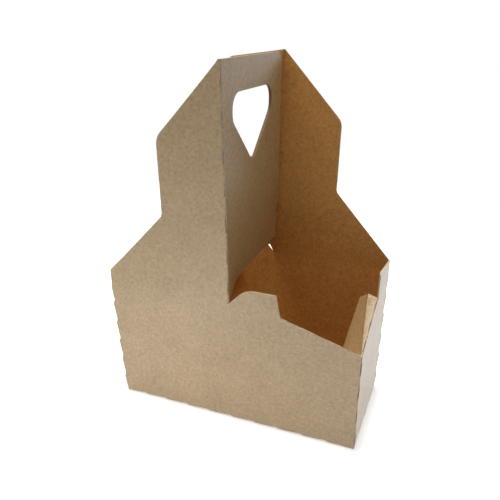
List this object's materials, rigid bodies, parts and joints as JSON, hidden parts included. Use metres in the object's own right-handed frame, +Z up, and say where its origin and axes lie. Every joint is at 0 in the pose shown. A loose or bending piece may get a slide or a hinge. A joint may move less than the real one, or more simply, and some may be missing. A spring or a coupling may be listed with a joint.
{
  "type": "cup carrier",
  "caption": "Folded kraft board carrier that holds drinks cups in two cells, with a middle divider that rises to a carrying handle with a hand hole.",
  "frame": {"origin": "middle of the underside of the base", "axes": "+X to the right along the long front wall, +Y from the front to the back, +Z up along the divider to the handle"},
  "size_m": [0.2, 0.121, 0.2808],
  "materials": {
    "kraft_board": "matte uncoated kraft board"
  },
  "bodies": {
    "root": {"cup_carrier": "kraft_board"}
  },
  "joints": []
}
